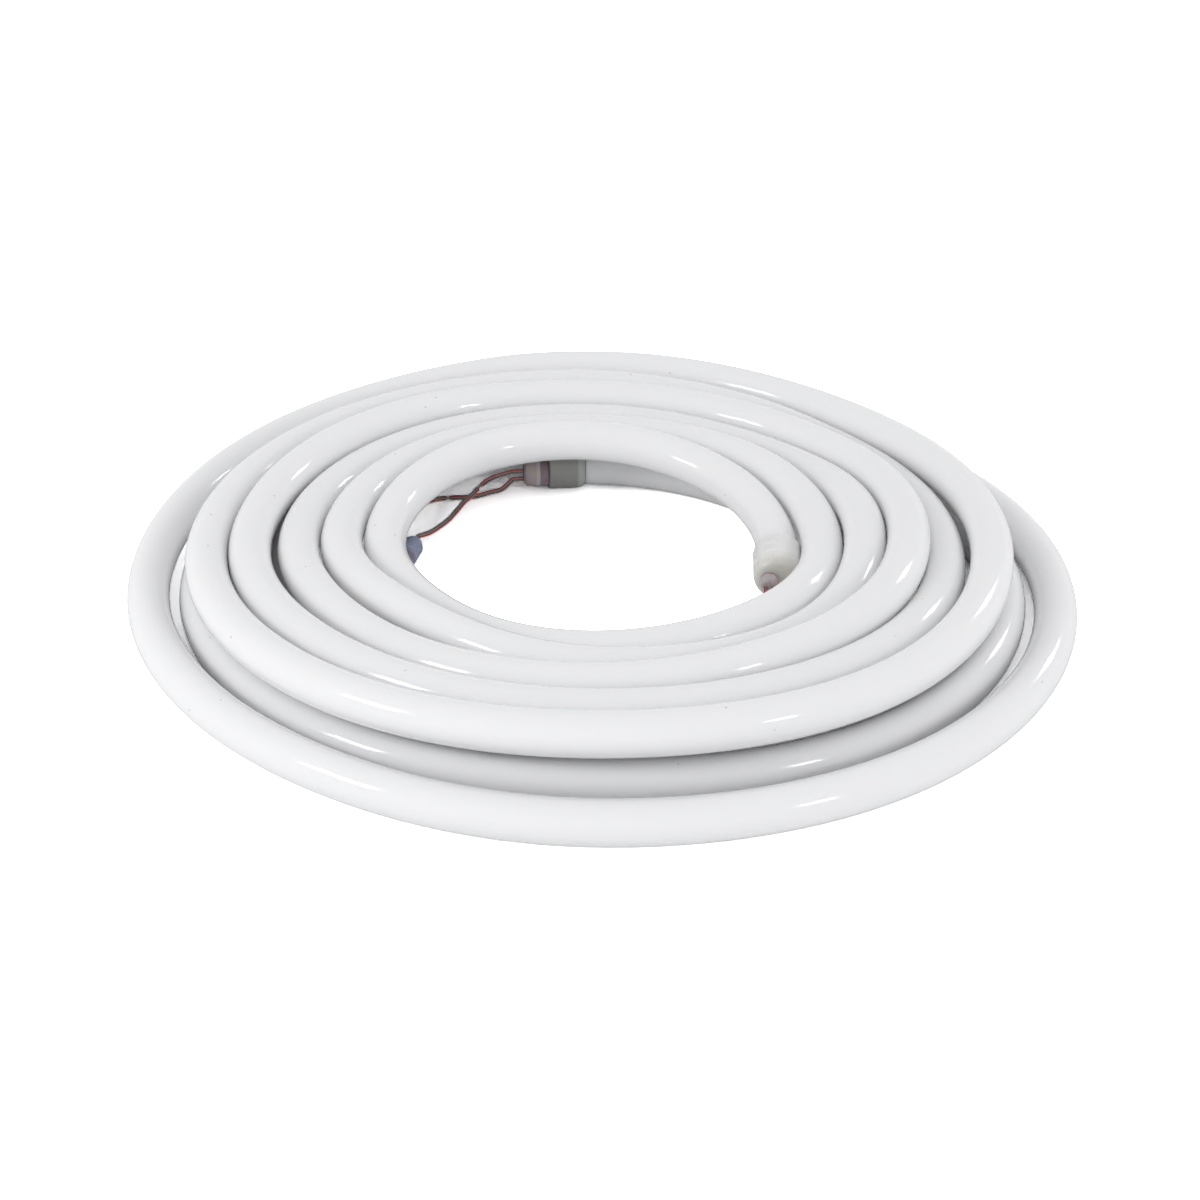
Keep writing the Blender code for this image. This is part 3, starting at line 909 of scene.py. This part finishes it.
class NEONFLEX_OT_caps(Operator):
    """Slip the end caps over the tube's two ends"""

    bl_idname = "neon_flex.caps"
    bl_label = "End caps"

    def execute(self, context):
        flex = settings(context)
        path = flex_path(flex.tube)
        self.add_tail_cap(flex, path)
        self.add_feed_cap(flex, path)
        return {"FINISHED"}

    def add_tail_cap(self, flex, path):
        cap = flex.cap
        outer, bore = cap_radii(flex)
        length, lip = cap.tail_length, cap.wall * LIP_OF_WALL
        profile = [
            (0, length), (outer, length), (outer, lip), (outer - lip, 0), (bore, 0),
            (bore, cap.grip), (0, cap.grip),
        ]
        radii = {1: cap.tail_round, 2: lip / 2, 3: lip / 2, 4: lip / 4, 5: lip / 2}
        softened = soften(profile, radii, count=10)
        material, shader = cap_finish("milky_cap", cap.tail_colour, roughness=0.24, glow=0.8)
        # Painted shade: from about two thirds of its length the cap darkens and warms towards its end
        shade_along(material, shader, length, (
            (0.0, cap.tail_colour), (0.62, cap.tail_colour), (1.0, cap.tail_painted_shade),
        ))
        self.seat_cap(flex, path, "tail", softened, "white_cap", material)

    def add_feed_cap(self, flex, path):
        cap = flex.cap
        outer, bore = cap_radii(flex)
        length, lip = cap.feed_length, cap.wall * LIP_OF_WALL
        taper, drop = cap.feed_taper, cap.feed_drop
        bend = (outer - drop * RIM_BEND[0], taper * RIM_BEND[1])
        profile = [
            (0, length), (outer, length), (outer, taper), bend, (outer - drop, 0), (bore, 0),
            (bore, cap.grip), (0, cap.grip),
        ]
        softened = soften(profile, {1: cap.feed_round, 2: taper / 4, 3: taper / 2, 6: lip / 2})
        # Dark grey as painted shade for the deep shade under the upper turns, with a lighter narrowing
        # rim
        material, shader = cap_finish("grey_cap", cap.feed_painted_shade, roughness=0.36, glow=0.15)
        shade_along(material, shader, length, (
            (0.0, cap.feed_rim), (taper / length * 0.7, cap.feed_rim),
            (taper / length, cap.feed_painted_shade), (1.0, cap.feed_painted_shade),
        ))
        self.seat_cap(flex, path, "feed", softened, "grey_cap", material)

    def seat_cap(self, flex, path, end, profile, slot, material):
        rim, heading, _ = cap_place(flex, path, end)
        mesh = turned_mesh(f"{end}_cap_cup", profile, CAP_SIDES, rim, heading)
        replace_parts(keep(f"{end}_cap_cup", mesh, material), f"{end}_cap")
        self.add_sealant(flex, f"{end}_cap_sealant", rim, heading)

    def add_sealant(self, flex, name, rim, heading):
        """A thin bead of clear sealant where the cap's rim meets the tube."""
        bore = flex.tube.diameter / 2
        bead = flex.cap.wall * SEALANT_OF_WALL
        inside = bore - bead / 2
        profile = [
            (bore + bead * math.cos(turn), bead * SEALANT_LENGTH * -math.sin(turn))
            for turn in np.linspace(0, math.pi / 2, 6)
        ]
        profile = [(inside, 0), *profile, (inside, -bead * SEALANT_LENGTH), (inside, 0)]
        mesh = turned_mesh(name, profile, CAP_SIDES, rim, heading)
        material, _ = glue_finish(flex.boot.shade)
        keep(name, mesh, material)


def cap_radii(flex):
    """A cap's outside radius and its bore's."""
    bore = flex.tube.diameter / 2 + flex.cap.clearance
    return bore + flex.cap.wall, bore


def cap_place(flex, path, end):
    """The cap's rim, its direction, and the level direction across it."""
    stop, heading, across = end_axes(path, end)
    return stop - heading * (flex.cap.grip - SEAT_GAP), heading, across


def boot_place(flex, path, end):
    """The middle of a boot's foot, its direction, and the level direction towards the eye."""
    boot = flex.boot
    rim, heading, across = cap_place(flex, path, end)
    stop = path[0] if end == "tail" else path[-1]
    toward_eye = -across if across.dot(Vector(stop)) > 0 else across
    face = rim + heading * (getattr(flex.cap, f"{end}_length") + SEAT_GAP)
    if end == "tail":
        foot = face + toward_eye * boot.tail_side + across.cross(heading) * boot.tail_rise
    else:
        foot = face + toward_eye * boot.feed_side - Vector((0, 0, boot.feed_drop))
    return foot, heading, toward_eye


def lead_starts(flex, path):
    """Where each lead comes out of its boot, which way, and how long the boot is."""
    width = flex.lead.width
    for end in ("tail", "feed"):
        base, heading, toward_eye = boot_place(flex, path, end)
        length = getattr(flex.boot, f"{end}_length")
        for k in (0, 1):
            if end == "tail":
                side = toward_eye * width * LEADS_APART[end] * (k - 0.5)
            else:
                side = toward_eye * width + Vector((0, 0, width * LEADS_APART[end] * (0.5 - k)))
            yield f"{end}_{k + 1}", base + heading * length + side, heading, length


class NEONFLEX_OT_boots(Operator):
    """Seat a clear boot on each cap, and the leads that show inside the feed boot"""

    bl_idname = "neon_flex.boots"
    bl_label = "Clear boots"

    def execute(self, context):
        flex = settings(context)
        boot = flex.boot
        path = flex_path(flex.tube)
        for end in ("tail", "feed"):
            size = [getattr(boot, f"{end}_{part}") for part in ("base", "tip", "length", "neck")]
            base, heading, _ = boot_place(flex, path, end)
            name = f"{end}_boot_sleeve"
            mesh = turned_mesh(name, self.profile(boot, *size), SMALL_SIDES, base, heading)
            _, _, length, neck = size
            piece = keep(name, mesh, boot_finish(boot, length, neck))
            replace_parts(piece, f"{end}_boot")
        self.add_inner_leads(flex, path)
        return {"FINISHED"}

    def profile(self, boot, base, tip, length, neck):
        """A neck at the cap, then a sleeve that narrows to a rounded end."""
        step = boot.neck_step
        foot = base - step
        profile = [(0, length), (tip, length), (base, neck + step), (foot, neck), (foot, 0), (0, 0)]
        return soften(profile, {1: tip * SLEEVE_ROUND, 2: step, 3: step, 4: step}, count=8)

    def add_inner_leads(self, flex, path):
        material = lead_finish(flex.lead)
        section = twin_outline(flex.lead)
        for which, start, heading, length in lead_starts(flex, path):
            end, number = which.split("_")
            if end == "tail":
                continue
            inner = np.array([start - heading * share * length for share in INNER_LEAD_RUN])
            name = f"{end}_inner_lead_{number}"
            tilts = facing_tilts(inner, flex.studio.elevation)
            mesh = swept_mesh(name, inner, section, flex.lead.width / 2, material, tilts)
            keep(name, mesh)


class NEONFLEX_OT_leads(Operator):
    """Run the twin leads from the boots to their plugs"""

    bl_idname = "neon_flex.leads"
    bl_label = "Twin leads"

    def execute(self, context):
        flex = settings(context)
        path = flex_path(flex.tube)
        middle = coil_middle(coil_path(flex.tube))
        material = lead_finish(flex.lead)
        section = twin_outline(flex.lead)
        for which, base, heading, _ in lead_starts(flex, path):
            start = base + heading * SEAT_GAP
            points = lead_route(flex, which, start, heading, middle)
            tilts = facing_tilts(points, flex.studio.elevation, LEAD_FLIPS[which])
            side, number = which.split("_")
            name = f"{side}_twin_lead_{number}"
            mesh = swept_mesh(name, points, section, flex.lead.width / 2, material, tilts)
            piece = keep(name, mesh)
            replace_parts(piece, f"{side}_lead_{number}")
        return {"FINISHED"}


def facing_tilts(points, elevation, flip=None):
    """Tilts that face a flat lead's broad side to the front, and turn it over where flip says."""
    front = np.array((0, -math.cos(elevation), math.sin(elevation)))
    along = np.gradient(points, axis=0)
    along /= np.linalg.norm(along, axis=1)[:, None]
    right = np.cross(along, (0, 0, 1))
    right /= np.linalg.norm(right, axis=1)[:, None]
    tilts = np.arctan2(right @ front, np.cross(right, along) @ front)
    if flip is not None:
        share = np.linspace(0, 1, len(points))
        tilts += math.pi / (1 + np.exp((flip - share) * FLIP_RATE))
    return tilts


def plug_entry(flex, which, middle):
    """Where a lead enters its plug, and the way it goes in."""
    (x, y), (along_x, along_y) = PLUG_ENTRY[which]
    end = Vector((x, y, flex.plug.radius + SEAT_GAP)) - middle
    return end, Vector((along_x, along_y, 0)).normalized()


def lead_route(flex, which, start, heading, middle):
    """A smooth route, straight out of the boot, by the chosen points, and straight into the plug."""
    end, line = plug_entry(flex, which, middle)
    reach = flex.lead.width * flex.lead.straight
    route = [Vector(place) - middle for place in LEAD_ROUTES[which]]
    knots = np.array([start, start + heading * reach, *route, end - line * reach, end])
    return np.array([knots[0], *smooth_run(knots, LEAD_FINESSE), knots[-2], knots[-1]])


class NEONFLEX_OT_plugs(Operator):
    """Turn the sealed plugs, and set a ring of grip ribs around each nut with geometry nodes"""

    bl_idname = "neon_flex.plugs"
    bl_label = "Sealed plugs"

    def execute(self, context):
        flex = settings(context)
        plug = flex.plug
        middle = coil_middle(coil_path(flex.tube))
        material = plug_finish(plug)
        for which in LEAD_ROUTES:
            side, number = which.split("_")
            end, line = plug_entry(flex, which, middle)
            front = end + line * (plug.length + SEAT_GAP)
            name = f"{side}_plug_{number}"
            mesh = turned_mesh(name, self.profile(plug), SMALL_SIDES, front, -line)
            piece = keep(name, mesh, material)
            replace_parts(piece, f"{side}_connector_{number}")
            self.add_ribs(plug, f"{side}_plug_ribs_{number}", front, -line, material)
        return {"FINISHED"}

    def add_ribs(self, plug, name, front, heading, finish):
        """Grip ribs between the nut's two rims, on one ring of points."""
        tree = bpy.data.node_groups.get("Ring of ribs") or rib_tree()
        run = plug.nut_length - 2 * plug.rim_width - plug.rim_height
        values = {
            "Count": plug.ribs, "Radius": plug.radius - plug.rim_height,
            "Rib Size": (plug.rim_height * RIB_RISE, plug.rib_width, run), "Finish": finish,
        }
        blank = bpy.data.objects.new(name, bpy.data.meshes.new(name))
        mesh = shaped_by(tree, blank, values, name)
        nut = plug.length - plug.back_length - plug.nut_length / 2
        turn = heading.to_track_quat("Z", "Y").to_matrix().to_4x4()
        mesh.transform(Matrix.Translation(front + heading * nut) @ turn)
        keep(name, mesh)

    def profile(self, plug):
        """Rounded back, nut between two rims, and a plain front with a bevelled edge."""
        back = plug.length - plug.back_length
        nut = back - plug.nut_length
        rim, rise = plug.rim_width, plug.rim_height
        hollow = plug.radius - rise
        profile = [
            (0, plug.length), (plug.neck, plug.length), (plug.back_radius, plug.length - plug.neck),
            (plug.back_radius, back), (plug.radius, back - rise), (plug.radius, back - rim),
            (hollow, back - rim - rise), (hollow, nut + rim + rise), (plug.radius, nut + rim),
            (plug.radius, nut), (plug.front_radius, nut - rise), (plug.front_radius, plug.edge),
            (plug.front_radius - plug.edge, 0), (0, 0),
        ]
        radii = {1: rise, 2: plug.neck / 2, 11: rise, 12: rise}
        radii |= {corner: rise / 2 for corner in (4, 5, 8, 9)}
        return soften(profile, radii)


class NEONFLEX_PT_panel(Panel):
    """The neon flex's pieces and sizes"""

    bl_label = "Neon Flex"
    bl_idname = "NEONFLEX_PT_panel"
    bl_space_type = "VIEW_3D"
    bl_region_type = "UI"
    bl_category = "Neon Flex"

    def draw(self, context):
        for operator in OPERATORS:
            self.layout.operator(operator.bl_idname)
        for group in GROUPS:
            name = group.__name__.removesuffix("Settings").lower()
            box = self.layout.box()
            box.label(text=name.capitalize())
            for prop in group.__annotations__:
                box.prop(getattr(settings(context), name), prop)


GROUPS = (TubeSettings, CapSettings, BootSettings, LeadSettings, PlugSettings, StudioSettings)
OPERATORS = (
    NEONFLEX_OT_stage, NEONFLEX_OT_caps, NEONFLEX_OT_tube, NEONFLEX_OT_boots, NEONFLEX_OT_plugs,
    NEONFLEX_OT_leads,
)
CLASSES = (*GROUPS, FlexSettings, *OPERATORS, NEONFLEX_PT_panel)


def register():
    for kind in CLASSES:
        bpy.utils.register_class(kind)
    bpy.types.Scene.neon_flex = PointerProperty(type=FlexSettings)


def unregister():
    del bpy.types.Scene.neon_flex
    for kind in reversed(CLASSES):
        bpy.utils.unregister_class(kind)


def main():
    register()
    bpy.ops.neon_flex.stage()
    bpy.ops.neon_flex.caps()
    bpy.ops.neon_flex.tube()
    bpy.ops.neon_flex.boots()
    bpy.ops.neon_flex.plugs()
    bpy.ops.neon_flex.leads()


if __name__ == "__main__":
    main()
